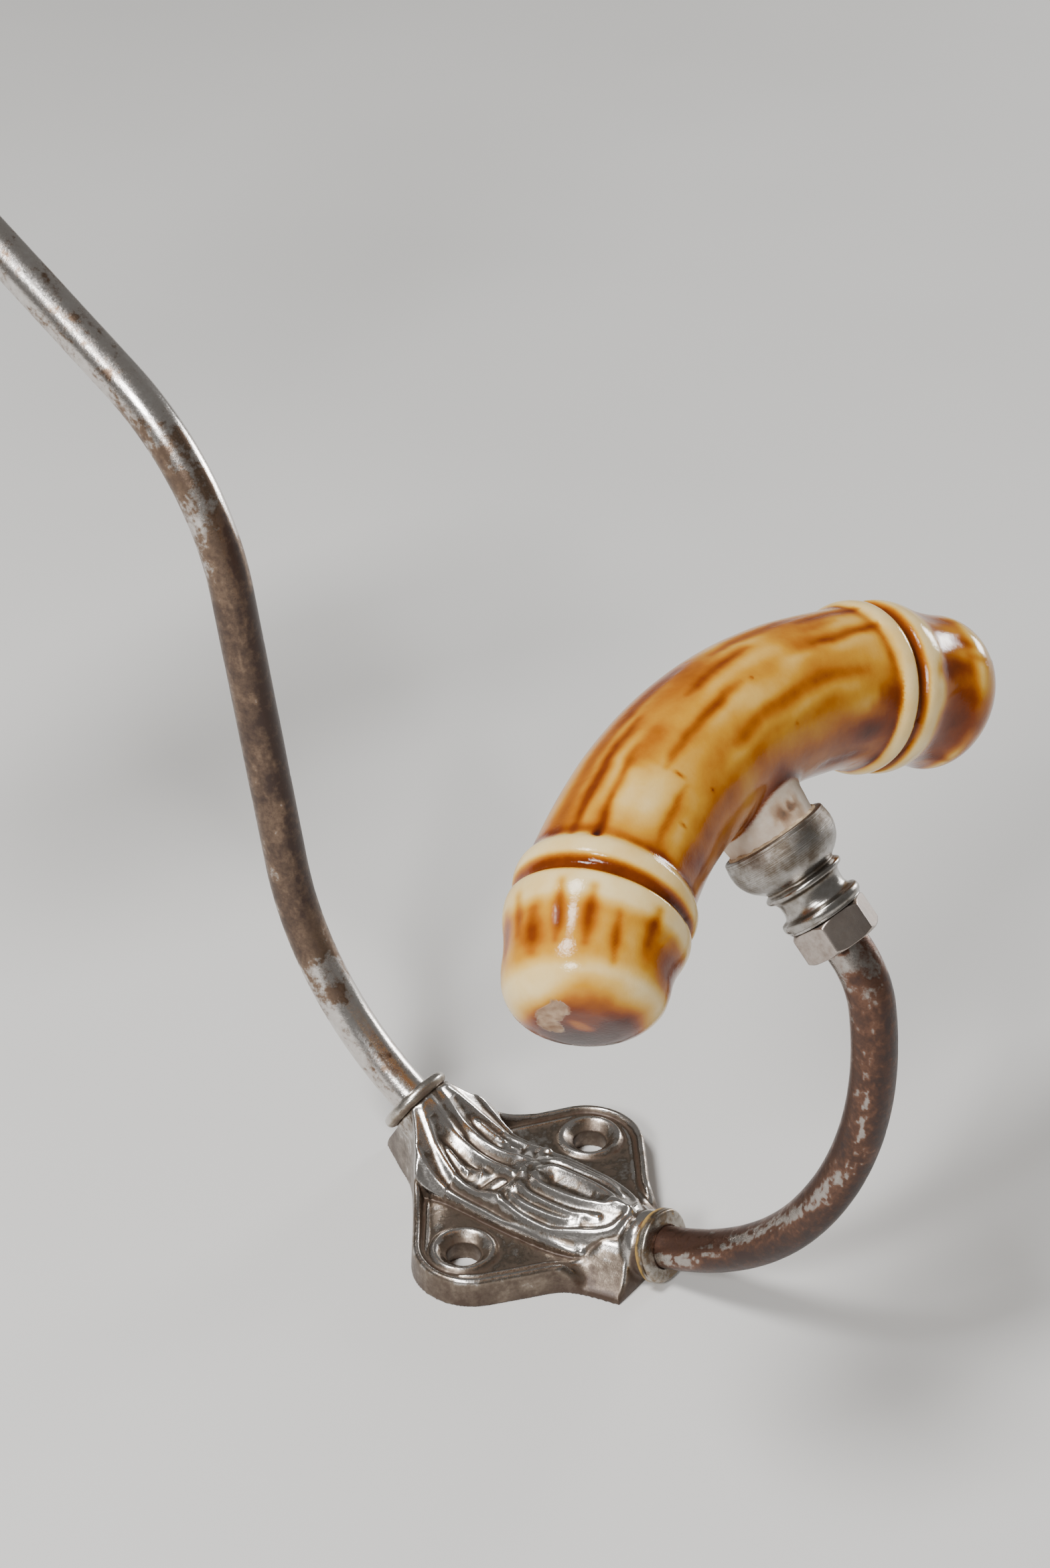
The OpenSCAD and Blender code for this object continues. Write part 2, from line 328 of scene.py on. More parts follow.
def metal_material(name, bright, dull, rust, roughness=(0.22, 0.5)):
    """Worn nickel plate. A vertex value runs from bright plate (0) by dull stain to rust (1); on the plate
    and rods it also carries painted shade and painted highlight.
    """
    m = Nodes(name)
    place_ = m.place()
    speckle = m.noise(900, 6, 0.7, place_)
    patch = m.noise(230, 5, 0.6, place_)
    wear_and_shade = m.math("ADD", m.attribute("wear_and_shade"), m.range(patch, 0.3, 0.7, -0.16, 0.16))
    wear_and_shade = m.math("ADD", wear_and_shade, m.range(speckle, 0.25, 0.75, -0.22, 0.22), clamp=True)
    pits = m.range(m.noise(1500, 3, 0.6, place_), 0.60, 0.72)
    wear_and_shade = m.math("MAXIMUM", wear_and_shade, m.math("MULTIPLY", pits, m.range(wear_and_shade, 0.1, 0.5, 0.0, 0.9)), clamp=True)
    colour = m.ramp(wear_and_shade, [(0.0, bright), (0.32, tuple(0.75 * b + 0.25 * d for b, d in zip(bright, dull))),
                           (0.52, dull), (0.75, tuple(0.4 * d + 0.6 * r for d, r in zip(dull, rust))),
                           (1.0, rust)])
    fine = m.noise(3200, 3, 0.6, place_)
    rough = m.math("ADD", m.range(wear_and_shade, 0.15, 0.85, *roughness), m.range(fine, 0.3, 0.7, -0.05, 0.05))
    metallic = m.range(wear_and_shade, 0.55, 1.0, 1.0, 0.25)
    normal = m.bump(m.math("ADD", m.math("MULTIPLY", wear_and_shade, -1.0), m.math("MULTIPLY", fine, 0.35)),
                    0.00007, 0.6)
    return m.finish(Base_Color=colour, Roughness=rough, Metallic=metallic, Normal=normal)


# ---- ceramic handle, drawn round its joint: +Z along the joint, the bar's middle at the origin ----

BAR_BEND = 75.4
BAR_END = 55.3
END_ROUND = 6.6
GROOVES = (-37.5, 34.4)
NECK_BOTTOM = -17.5
# Radius of the bar by distance from the nearer groove, negative towards the middle
BAR_PROFILE = [(-60, 11.85), (-20, 11.85), (-9, 11.9), (-5.6, 12.1), (-4.4, 12.4), (-3.4, 12.95),
               (-2.3, 13.1),
               (-1.2, 12.9), (-0.7, 12.45), (0, 12.1), (0.7, 12.45), (1.2, 12.95), (2.5, 13.1), (4.2, 12.8),
               (6.5, 12.1), (9, 11.7), (11.5, 11.65), (14, 11.85), (20, 11.85)]


def bar_coordinates(p):
    """Arc length along the bar, distance from its centre line, and angle round it in degrees."""
    x, y, z = p[..., 0], p[..., 1], p[..., 2] + BAR_BEND
    t = np.arctan2(x, z) * BAR_BEND
    out = np.hypot(x, z) - BAR_BEND
    return t, np.hypot(out, y), np.degrees(np.arctan2(y, out))


def bar_radius(t):
    s = np.where(t < -1.5, -(t - GROOVES[0]), t - GROOVES[1])
    return curve(s, BAR_PROFILE)


def handle_field(p):
    t, rho, _ = bar_coordinates(p)
    end = BAR_END - 0.009 * rho ** 2
    a = np.abs(t) - (end - END_ROUND)
    b = rho - (bar_radius(t) - END_ROUND)
    bar = np.hypot(np.maximum(a, 0), np.maximum(b, 0)) + np.minimum(np.maximum(a, b), 0) - END_ROUND
    z = p[..., 2]
    cone = np.hypot(p[..., 0], p[..., 1]) - np.interp(z, [-15.9, -6], [6.95, 7.7])
    cone = smooth_max(cone, NECK_BOTTOM - z, 0.3)
    cone = np.maximum(cone, z + 2)
    return smooth_min(bar, cone, 1.6)


# Dark strokes in the glaze: angle, from, to (along the bar), width in mm, strength
STROKES = [
    (-25, -34, -13, 0.75, 0.75), (-23, -29, -18, 0.5, 0.5), (-42, -35, -27, 0.7, 0.9),
    (-41, -28, -18, 0.6, 0.55),
    (-82, -31, -20, 0.5, 0.5), (-64, -19, 1, 0.6, 0.6), (-62, -10, -3, 0.5, 0.4), (-47, -21, -14, 1.5, 0.35),
    (-91, -8, 24, 0.9, 0.45), (-88, -3, 10, 0.6, 0.3), (-10, -34, 2, 1.3, 0.55), (-14, -14, 2, 0.9, 0.5),
    (-62, 17, 31, 0.65, 0.75), (-63, 14, 20, 1.4, 0.35), (-43, -6, 8, 0.7, 0.6), (-27, 4, 22, 0.9, 0.6),
    (-48, 18, 24, 0.9, 0.45), (-37, 19, 31, 0.9, 0.7), (-112, 26, 31.5, 2.2, 0.8), (-120, 24, 30, 1.6, 0.5),
    (-116, -32, -12, 1.2, 0.3), (-109, -33, -27, 1.0, 0.5), (-110, 6, 20, 1.0, 0.25),
    (-104, -12, 4, 0.7, 0.2),
    # the near waist
    (-98, -45.5, -40.6, 0.9, 0.85), (-99, -48.5, -45, 1.1, 0.4), (-72, -49.5, -43.3, 0.7, 0.7),
    (-52.5, -47.5, -41, 0.75, 0.8), (-32, -47, -41, 0.75, 0.8), (-12, -49.2, -43.6, 1.7, 0.9),
    (3, -46, -41, 0.9, 0.7), (-122, -50, -43, 2.6, 0.85), (-140, -50, -42, 2.2, 0.7),
    (20, -49, -42, 1.3, 0.7),
    # the far waist
    (-97, 38.2, 45.5, 1.3, 0.8), (-72, 43.5, 49, 1.0, 0.7), (-118, 41, 49, 2.0, 0.6),
    (-135, 39, 50, 2.8, 0.85),
    (-152, 40, 49, 2.2, 0.7), (-48, 39, 47, 1.0, 0.6), (-85, 46, 50, 0.8, 0.45),
]
# Pools and pale patches: along, angle, half length, half width in mm, change of depth
PATCHES = [
    (-25, -66, 7, 2.6, -0.5), (-26, -50, 5, 1.6, -0.45), (-20, -36, 7, 1.0, -0.4), (-12, -18, 7, 0.9, -0.45),
    (-27, -93, 4, 1.2, -0.45), (-14, -78, 7, 1.4, -0.25), (-7, -99, 6, 1.3, -0.4), (1, -54, 9, 1.3, -0.45),
    (4, -78, 8, 2.0, -0.35), (-5, -70, 5, 1.0, -0.35), (23, -68, 6, 1.2, -0.4), (24, -50, 6, 1.6, -0.5),
    (26, -82, 5, 2.2, -0.3), (24, -116, 5, 1.6, -0.35), (12, -100, 8, 1.1, -0.3), (13, -70, 4, 1.0, -0.3),
    (8, -34, 5, 0.9, -0.3), (-30, -30, 3, 0.8, -0.3), (-46, -84, 2.6, 1.2, -0.55), (-44, -62, 3, 1.0, -0.4),
    (-44, -42, 3, 0.9, -0.4), (-42.5, -22, 2.2, 0.9, -0.35), (44, -84, 4, 0.9, -0.35),
    (46, -108, 3, 1.4, -0.3),
    (46, -60, 3, 1.2, -0.3), (-21, -55, 4, 1.6, 0.12), (-4, -30, 8, 2.2, 0.16), (14, -56, 3, 1.6, 0.15),
    (-22, -112, 8, 2.0, 0.10), (0, -112, 12, 2.0, 0.08), (14, -88, 6, 2.0, 0.12), (31, -62, 1.5, 1.8, 0.25),
    # The last three patches on the next line, round the underside, are partly deeper glaze and partly painted
    # shade.
    (-31.5, -84, 1.6, 2.2, 0.2), (24, -138, 9, 3.0, 0.55), (4, -136, 9, 2.6, 0.25), (-28, -122, 5, 2.2, 0.35),
]


# Pools on a bar's end face: across and outwards in mm, half sizes, depth
FACE_POOLS = [
    (-4.6, 2.0, 4.8, 5.2, 0.74), (7.0, 1.8, 5.4, 4.0, 0.74), (-2.8, -3.8, 5.6, 4.2, 0.88),
    (0.8, 3.4, 5.4, 4.6, 0.84),
    (3.8, -4.8, 7.8, 5.6, 0.98), (6.2, -8.4, 4.8, 3.4, 0.90), (2.6, -0.6, 3.8, 3.4, 0.95),
    (-1.2, 0.7, 0.8, 1.9, 0.62),
    (11.4, 1.5, 1.6, 2.6, 0.45), (-10.6, 5.5, 1.2, 3.0, 0.10),
]


# Small marks in the glaze: along, angle, half length along, half width across, depth
SPECKS = [
    (-33.0, -43, 0.6, 0.6, 0.97),
    (3.1, -65, 0.3, 0.3, 0.7),
    (5.7, -109.5, 0.3, 0.3, 0.62),
    (-16.9, -100, 0.3, 0.3, 0.75),
    (-19.1, -75, 0.3, 0.9, 0.66),
    (-25.6, -94, 0.3, 0.6, 0.66),
]


def hidden_strokes(seed):
    """Strokes like the others for the side that lies away, round the rest of the bar."""
    draw = np.random.default_rng(seed)
    strokes = []
    for angle in range(28, 200, 17):
        for start in (-33, -12, 12):
            a = start + draw.uniform(-2, 5)
            strokes.append((angle + draw.uniform(-5, 5), a, a + draw.uniform(8, 17),
                            draw.uniform(0.5, 1.0), draw.uniform(0.3, 0.75)))
    for angle in range(38, 205, 21):
        for low, high in ((-49, -41), (39, 49)):
            strokes.append((angle + draw.uniform(-4, 4), low + draw.uniform(0, 2),
                            high - draw.uniform(0, 2.5),
                            draw.uniform(0.7, 1.6), draw.uniform(0.5, 0.85)))
    return strokes


def turn_between(a, b):
    """Smallest signed angle from b to a in degrees."""
    return (a - b + 180) % 360 - 180


def glaze_depth(p, seed):
    """How deep the glaze lies at each point, 0 ivory to 1 nearly black, and the strokes alone."""
    t, rho, phi = bar_coordinates(p)
    mm_per_degree = 12 * math.pi / 180
    wobble = np.stack([noise(p, 7, seed), noise(p, 7, seed + 1)], -1)
    fine = np.stack([noise(p, 2.2, seed + 2), noise(p, 2.2, seed + 3)], -1)
    at_t = t + 0.7 * wobble[:, 0] + 0.3 * fine[:, 0]
    at_phi = phi + (0.55 * wobble[:, 1] + 0.22 * fine[:, 1]) / mm_per_degree
    s = np.where(t < 0, -(t - GROOVES[0]), t - GROOVES[1])
    waist = smooth_step(s, 3.4, 6.2) * (1 - smooth_step(s, 11.5, 14.5))
    depth = 0.45 + 0.08 * noise(p, 9, seed + 4) + 0.07 * noise(p, 4, seed + 5)
    # Deeper round the underside: partly glaze lying thicker there, partly painted shade.
    underside_glaze_and_shade = smooth_step(np.abs(turn_between(phi, 0)), 115, 165)
    depth = depth + 0.16 * underside_glaze_and_shade
    for at, angle, half_length, half_width, change in PATCHES:
        d = ((at_t - at) / half_length) ** 2 + (turn_between(at_phi, angle) * mm_per_degree / half_width) ** 2
        depth = depth + change * np.exp(-d) * 0.46
    # the beads stay ivory and the waist beyond them is amber
    body = 1 - smooth_step(s, -5.0, -4.2)
    cream = 0.05 + 0.05 * noise(p, 3, seed + 6)
    outer = waist * np.clip(0.42 + 0.1 * noise(p, 5, seed + 7) + np.where(t > 0, 0.12, 0.0)
                            + 0.3 * (depth - 0.45), 0.1, 1)
    cap = smooth_step(s, 12.5, 16)
    far_cap = cap * (t > 0) * (0.52 + 0.12 * noise(p, 6, seed + 12) + 0.08 * noise(p, 2.5, seed + 13))
    depth = depth * body + (1 - body) * np.maximum(np.maximum(cream, outer), far_cap)
    marks = np.zeros_like(depth)
    for angle, start, stop, width, strength in STROKES + hidden_strokes(seed + 20):
        across = turn_between(at_phi, angle) * mm_per_degree
        along = np.maximum(np.maximum(start - at_t, at_t - stop), 0)
        fade = smooth_step(at_t, start, start + 2.5) * smooth_step(-at_t, -stop, -stop + 2.5)
        width = width * (0.9 + 0.45 * fade)
        mark = strength * (0.55 + 0.45 * fade) * np.exp(-((across / width) ** 2) - (along / 0.8) ** 2)
        marks = 1 - (1 - marks) * (1 - np.clip(mark, 0, 1))
    # pools against the beads, and the grooves
    pool = np.exp(-((s + 5.1 + 0.5 * wobble[:, 0]) / 0.95) ** 2) * (0.62 + 0.25 * fine[:, 1])
    pool = pool * (0.55 + 0.45 * smooth_step(noise(p, 8, seed + 8), -0.4, 0.5))
    groove = 0.86 * np.exp(-(np.abs(s) / 1.15) ** 4)
    edge = 0.22 * np.exp(-((s - 5.2) / 0.9) ** 2) * smooth_step(noise(p, 4, seed + 9), -0.2, 0.8)
    marks = marks * (np.abs(s + 2.2) > 1.9)
    marks_all = 1 - (1 - marks) * (1 - pool) * (1 - groove) * (1 - edge)
    depth = np.clip(depth, 0, 1)
    depth = depth + np.maximum(0.80 - depth, 0) * marks
    depth = depth + np.maximum(0.88 - depth, 0) * (1 - (1 - pool) * (1 - groove) * (1 - edge))
    for at, angle, half_length, half_width, dark in SPECKS:
        across = turn_between(phi, angle) * mm_per_degree
        d = ((t - at) / half_length) ** 2 + (across / half_width) ** 2
        depth = depth + np.clip(dark - depth, 0, 1) * np.exp(-d)
    # dark pools on the end faces, in face coordinates: across, outwards
    u = p[..., 1] + 0.5 * wobble[:, 0] + 0.4 * fine[:, 0]
    v = np.hypot(p[..., 0], p[..., 2] + BAR_BEND) - BAR_BEND + 0.5 * wobble[:, 1] + 0.4 * fine[:, 1]
    face = smooth_step(s, 12.0, 14.5)
    for across, out, half_u, half_v, deep in FACE_POOLS:
        d = ((u - across) / half_u) ** 2 + ((v - out) / half_v) ** 2
        depth = depth + (deep - depth) * np.exp(-d ** 2) * face * (0.92 if deep > 0.5 else 0.75)
    return np.clip(depth, 0, 1), marks_all


def make_handle(name, joint, body, node, seed, material):
    origin, axes = joint_axes(joint)
    reach = BAR_BEND * math.sin(BAR_END / BAR_BEND) + 11
    low = np.array([-reach, -13.8, -38.0])
    high = np.array([reach, 13.8, 13.8])
    points, quads = mesh_from_field(handle_field, low, high, 0.42)
    t, rho, phi = bar_coordinates(points)
    depth, marks = glaze_depth(points, seed)
    # how far outside the bar's own surface the neck is
    clear = rho - bar_radius(t)
    line = 0.85 + 0.25 * noise(points, 5, seed + 30)
    neck = (points[:, 2] < -4) & (np.hypot(points[:, 0], points[:, 1]) < 12)
    bare = smooth_step(clear, line - 0.2, line + 0.2) * neck
    near_neck = smooth_step(-np.hypot(points[:, 0], points[:, 1]), -10.2, -8.8)
    edge = (np.exp(-((clear - line + 0.35) / 0.3) ** 2) * neck * near_neck
            * (0.55 + 0.3 * noise(points, 3, seed + 38)))
    depth = depth + (0.88 - depth) * edge
    stain = 0.12 + 0.22 * smooth_step(noise(points, 2.6, seed + 31), 0.0, 0.8)
    blot = (np.exp(-((points[:, 0] + 1.6) / 3.0) ** 2 - ((points[:, 2] + 13.4) / 1.5) ** 2)
            * (points[:, 1] < 0))
    stain = stain + 0.7 * blot * smooth_step(noise(points, 0.9, seed + 32), -0.8, 0.4)
    # a chip on the end face lets the body show
    out = np.hypot(points[:, 0], points[:, 2] + BAR_BEND) - BAR_BEND
    across = points[:, 1] + 0.3 * noise(points, 1.4, seed + 33)
    away, _ = path_distance(np.stack([across, out], -1),
                            spline([(-2.6, 5.6), (-0.6, 5.6), (0.9, 4.6), (2.0, 3.0)], 4))
    chip = smooth_step(-away - 0.35 * noise(points, 1.1, seed + 37), -1.55, -1.4) * (t < -45)
    bare_all = np.maximum(bare, chip)
    stain = np.where(chip > 0.2, 0.58 + 0.16 * noise(points, 0.7, seed + 34), stain)
    slope = gradient(handle_field, points)
    slope /= np.linalg.norm(slope, axis=1, keepdims=True)
    relief = -0.16 * marks * (1 - bare) + 0.05 * noise(points, 5, seed + 35) - 0.3 * chip
    relief = relief + 0.05 * bare * noise(points, 0.8, seed + 36)
    relief = (relief - 0.02) * (points[:, 2] > -15.6)
    points = points + slope * relief[:, None]
    return add_piece(name, place(points, origin, axes), quads, material, body, [node],
                     {"glaze": depth, "bare": bare_all, "stain": stain})


# ---- wall plate: the origin is the middle of its back ----

HAT_SOCKET = (22.0, 12.2, 34.0)     # y, z and heading where the hat arm starts
COAT_SOCKET = (-24.0, 5.3, 163.6)
HAT_MOUTH, COAT_MOUTH = 0.4, 1.7
SCREW_X, SCREW_R = 17.5, 2.8
LOBE, LOBE_R = (15.5, -0.5), 10.3
RIM_TOP, FIELD_FLOOR = 5.0, 4.05
MAP_STEP = 0.125
MAP_X = np.arange(0, 28.01, MAP_STEP)
MAP_Y = np.arange(-29, 33.01, MAP_STEP)
# Tables of (y, value): height on the centre line, half width and foot of the raised body
CROWN = [(-23, 9.0), (-19.5, 10.0), (-15, 10.2), (-8.5, 9.9), (0, 9.5), (5.2, 8.3), (9.4, 8.6), (13.5, 10.4),
         (15.3, 11.7), (17.6, 14.0), (19, 15.3), (21, 16.8), (24, 17.4)]
HALF_WIDTH = [(-23, 5.3), (-20, 6.1), (-17, 8), (-12, 9.5), (-5, 10), (3, 10), (9.4, 10), (12, 10.4),
              (14, 11),
              (15.4, 11.2), (16.8, 9.8), (18.2, 8.2), (19.7, 6.9), (21.3, 6.0), (26, 5)]
FOOT = [(-23, 4.2), (7, 4.2), (9.5, 4.5), (11, 4.9), (12.4, 5.4), (13.9, 6.3), (15.4, 7.9), (16.8, 9.9),
        (18.2, 12.0), (19.7, 13.9), (21.3, 15.4), (24, 16)]
TAIL_EDGE = [(-26, 9.9), (-25.5, 10), (-19.5, 11.4), (-15.9, 13.2), (-12, 17)]
# Cast relief on one half, mirrored on the other: points, half width, height
RELIEF = [
    ([(1.2, 19.5), (1.35, 15), (1.45, 10), (1.7, 5), (2.1, 1.6)], 0.8, 1.0),
    ([(2.4, 19.4), (2.9, 17.2)], 1.35, 0.75),
    ([(3.6, 18.6), (4.7, 16.2), (5.3, 15), (6.0, 13), (6.8, 10), (7.3, 7), (7.4, 4), (7.2, 1)], 0.78, 0.95),
    ([(4.2, 13.4), (4.6, 11), (4.9, 8.8)], 0.5, 0.6),
    ([(5.0, 8.6), (4.95, 8.3)], 0.75, 0.45),
    ([(4.1, 6.6), (4.0, 6.3)], 0.8, 0.6),
    ([(4.9, -0.3), (4.9, -0.6)], 0.75, 0.6),
    ([(6.6, 3.2), (7.3, 0.2)], 1.2, 0.45),
    ([(7.2, 1), (7.8, -2), (8.2, -5), (8.2, -10), (7.4, -13), (6.6, -15), (5.5, -17.5), (4.2, -19.3),
      (2.6, -20.3), (0, -20.8)], 0.75, 1.0),
    ([(8.4, 16.8), (9.0, 13), (9.1, 9), (9.3, 4), (9.6, -1), (9.5, -5), (9.4, -10), (9.0, -13), (8.3, -16.6)],
     0.62, 0.8),
    ([(6.0, -1.4), (6.5, -4), (6.5, -8), (6.2, -11.5), (5.4, -14)], 0.72, 0.8),
    ([(3.7, -0.9), (4.7, -3.5), (4.9, -7), (4.9, -11), (4.4, -14), (3.4, -16.6)], 0.66, 0.85),
    ([(0.7, -2.0), (2.3, -3.8), (2.6, -7), (2.4, -11), (1.8, -14.5), (0.9, -17.5), (0, -20)], 0.8, 0.85),
    ([(0, -16), (0, -19), (0, -21.6)], 0.7, 0.9),
    ([(0.2, 0.6), (1.6, -0.2)], 0.6, 0.4),
    ([(7.7, -16.2), (8.6, -17.4)], 1.0, 0.5),
]
HOLLOWS = [([(0, -5.5), (0, -12.5)], 1.15, 0.95), ([(0, 3), (0, 14)], 0.5, 0.35), ([(3.3, 14.6),
           (3.2, 8)], 0.55, 0.45),
           ([(5.8, 5.2), (3.2, 3.6), (3.4, 1.4), (5.8, 2.6)], 0.5, 0.4)]


def heading(degrees):
    return np.array([math.cos(math.radians(degrees)), math.sin(math.radians(degrees))])


def plate_outline():
    """One half of the outline, from the top point to the middle of the fishtail."""
    arc = [(LOBE[0] + LOBE_R * math.cos(a), LOBE[1] + LOBE_R * math.sin(a))
           for a in np.radians(np.linspace(54, -50, 18))]
    upper = spline([(0, 30), (3.3, 24.8), (6.6, 19.7), (11.5, 15.4), (17, 11.2), arc[0]], 6)[:-1]
    lower = spline([arc[-1], (17.4, -12.3), (13.2, -15.9), (11.4, -19.5), (10, -25.5)], 6)[1:]
    return np.vstack([upper, arc, lower, [(0, -25.5)]])


def inside_distance(x, y, outline):
    """Distance inside the outline of a half that is closed by its mirror image, negative outside."""
    d, _ = path_distance(np.stack([x, y], -1), outline)
    inside = np.zeros(x.shape, bool)
    ring = np.vstack([outline, outline[:1]])
    for (x0, y0), (x1, y1) in zip(ring[:-1], ring[1:]):
        if y0 != y1:
            hit = (y0 > y) != (y1 > y)
            inside ^= hit & (x + 1e-6 < (x1 - x0) * (y - y0) / (y1 - y0) + x0)
    return np.where(inside, d, -d)


def blurred(table, radius):
    """Mean over a square of the map, mirrored at x = 0."""
    n = int(radius / MAP_STEP)
    for axis in (0, 1):
        before = np.take(table, range(n, 0, -1), axis) if axis == 0 else np.repeat(table[:, :1], n, 1)
        after = np.repeat(np.take(table, [-1], axis), n, axis)
        total = np.cumsum(np.concatenate([before, table, after], axis), axis)
        start = np.take(total, range(0, total.shape[axis] - 2 * n), axis)
        stop = np.take(total, range(2 * n, total.shape[axis]), axis)
        table = (stop - start) / (2 * n)
    return table


def plate_maps():
    """Maps over one half of the plate: distance inside the outline, height of the top, and its relief."""
    x, y = np.meshgrid(MAP_X, MAP_Y, indexing="ij")
    d = inside_distance(x, y, plate_outline())
    foot = curve(y, FOOT)
    rim_top = np.where(y > 8, np.maximum(foot + 0.25, RIM_TOP), RIM_TOP)
    rim = FIELD_FLOOR + (rim_top - FIELD_FLOOR) * (1 - smooth_step(d, 1.2, 2.0))
    rim = rim + 0.38 * np.exp(-((d - 2.75) / 0.38) ** 2) * smooth_step(x, 9, 13)
    r = np.hypot(x - SCREW_X, y)
    boss = FIELD_FLOOR + 0.75 * (1 - smooth_step(r, 4.8, 6.0)) - 1.5 * (1 - smooth_step(r, 2.5, 4.9))
    top = np.where(r < 6.0, np.maximum(boss, FIELD_FLOOR - 1.2), rim)
    top = np.where((r < 6.0) & (d < 1.95), np.maximum(boss, rim), top)
    share = np.clip(1 - (x / curve(y, HALF_WIDTH)) ** 2, 0, 1)
    body = foot + (curve(y, CROWN) - foot) * share ** (0.9 - 0.4 * smooth_step(y, 8, 16))
    body = np.where(share > 0, body, 0)
    for points, width, height in RELIEF:
        away, along = path_distance(np.stack([x, y], -1), spline(points, 6))
        taper = 0.55 + 0.45 * smooth_step(along, 0, 0.12) * (1 - smooth_step(along, 0.88, 1))
        body = body + height * taper * np.exp(-(away / width) ** 2)
    for points, width, height in HOLLOWS:
        away, _ = path_distance(np.stack([x, y], -1), spline(points, 6))
        body = body - height * np.exp(-(away / width) ** 2)
    side = curve(y, TAIL_EDGE) - x
    flare = 1.1 + 6.6 * smooth_step(side, -0.3, 7.2) ** 1.1
    flare = smooth_min(flare, 1.1 + 6.6 * smooth_step(y + 25.5, -0.4, 2.6), 1.2)
    tail = 1 - smooth_step(y, -19.5, -15.2)
    top = top * (1 - tail) + flare * tail
    body = np.where(y < -21.5, 0, body)
    height = smooth_max(top, body, 0.35)
    return d, height, height - blurred(height, 0.9)


def lookup(table, x, y):
    """Bilinear value of a map over the plate, mirrored about x = 0."""
    i = np.clip(np.abs(x) / MAP_STEP, 0, len(MAP_X) - 1.001)
    j = np.clip((y - MAP_Y[0]) / MAP_STEP, 0, len(MAP_Y) - 1.001)
    a, b = i.astype(int), j.astype(int)
    u, v = i - a, j - b
    return (table[a, b] * (1 - u) * (1 - v) + table[a + 1, b] * u * (1 - v)
            + table[a, b + 1] * (1 - u) * v + table[a + 1, b + 1] * u * v)


def socket_coordinates(p, socket):
    """Distance along a socket's axis from the arm's start, and distance from the axis."""
    along = heading(socket[2])
    dy, dz = p[..., 1] - socket[0], p[..., 2] - socket[1]
    return dy * along[0] + dz * along[1], np.hypot(p[..., 0], dz * along[0] - dy * along[1])


def make_plate(material):
    inside, height, relief = plate_maps()

    def field(p):
        x, y, z = p[..., 0], p[..., 1], p[..., 2]
        f = smooth_max((z - lookup(height, x, y)) * 0.7, 0.07 * z - lookup(inside, x, y), 0.75)
        s, r = socket_coordinates(p, HAT_SOCKET)
        neck = smooth_max(r - curve(s, [(-11, 3.2), (-8, 3.5), (-5, 4.2), (-2.5, 5.0), (0.4, 5.2), (2, 5.2)]),
                          -9 - s, 1.0)
        f = smooth_min(f, neck, 1.0)
        f = smooth_max(f, s - HAT_MOUTH, 0.3)
        s, r = socket_coordinates(p, COAT_SOCKET)
        radius = curve(s, [(-9, 5.2), (-5, 5.1), (-3.6, 4.75), (-2.6, 4.6), (-1.7, 4.85), (-0.8, 5.35),
                           (0.2, 5.5),
                           (1.0, 5.35), (1.7, 5.0), (3, 5)])
        neck = smooth_max(smooth_max(r - radius, -8 - s, 1.0), s - COAT_MOUTH, 0.25)
        f = smooth_min(f, neck, 0.8)
        f = np.maximum(f, SCREW_R - np.hypot(np.abs(x) - SCREW_X, y))
        return np.maximum(f, -z)

    points, quads = mesh_from_field(field, (-26.3, -26.9, -0.4), (26.3, 30.6, 18.6), 0.26)
    x, y, z = points.T
    ridge = lookup(relief, x, y)
    top = smooth_step(z - lookup(height, x, y), -1.2, -0.4)
    large = noise(points, 6, 70)
    # Raised ridges lighter and hollows darker: rubbed plate and grime in the hollows, with painted highlight
    # on the ridges.
    wear_and_shade = 0.52 + 0.14 * large + 0.10 * noise(points, 2.2, 71) - 1.5 * np.clip(ridge, -0.3, 0.36) * top
    # Painted light and shade: the sides below the top are darker and the raised dome is lighter the higher it
    # stands.
    wear_and_shade = (wear_and_shade + 0.2 * (1 - top) - 0.2 * smooth_step(z, 5.6, 7.2)
            - 0.12 * smooth_step(z, 9, 12) * smooth_step(y, 6, 14))
    # Painted shade: the lowest 3 mm are darker. The fishtail's flanks are darker as well.
    wear_and_shade = (wear_and_shade + 0.16 * smooth_step(-z, -3.2, -0.3)
            + 0.2 * smooth_step(-y, 16.5, 19) * smooth_step(np.abs(x), 4, 6.5))
    points[:, 2] = np.maximum(z, 0)
    # The screw holes are dark inside.
    wear_and_shade = np.where(np.hypot(np.abs(x) - SCREW_X, y) < 3.1, 0.8, wear_and_shade)
    return add_piece("wall_plate_cast", points, quads, material, "hook_frame", ["wall_plate"],
                     {"wear_and_shade": np.clip(wear_and_shade, 0.05, 1)})


# ---- rods ----

ROD_R = 3.5
ROD_TIP_AT = 18.0
HAT_CHAIN = [(3, 0), (46, 47.5), (49, 0), (39, -47), (104, 0)]
COAT_CHAIN = [(4, 0), (33.7, -40.7), (46.3, -41.6), (9.2, -33.8), (36.3, 0)]


def rod_line(socket, chain, depth, step=0.4):
    """Points and headings, in Y and Z, along a chain of (length, turn) pieces."""
    p, a = np.array(socket[:2]), socket[2]
    lines = [p + s * heading(a) for s in np.arange(-depth, 0, step)]
    angles = [a] * len(lines)
    for index, (length, turn) in enumerate(chain):
        stop = length - ROD_TIP_AT if index == len(chain) - 1 else length
        for s in np.arange(0, stop, step):
            b = a + turn * s / length
            if turn:
                radius = length / math.radians(turn)
                lines.append(p + radius * (heading(a + 90) - heading(b + 90)))
            else:
                lines.append(p + s * heading(a))
            angles.append(b)
        if turn:
            radius = length / math.radians(turn)
            p = p + radius * (heading(a + 90) - heading(a + turn + 90))
        else:
            p = p + length * heading(a)
        a += turn
    return np.array(lines), np.array(angles)


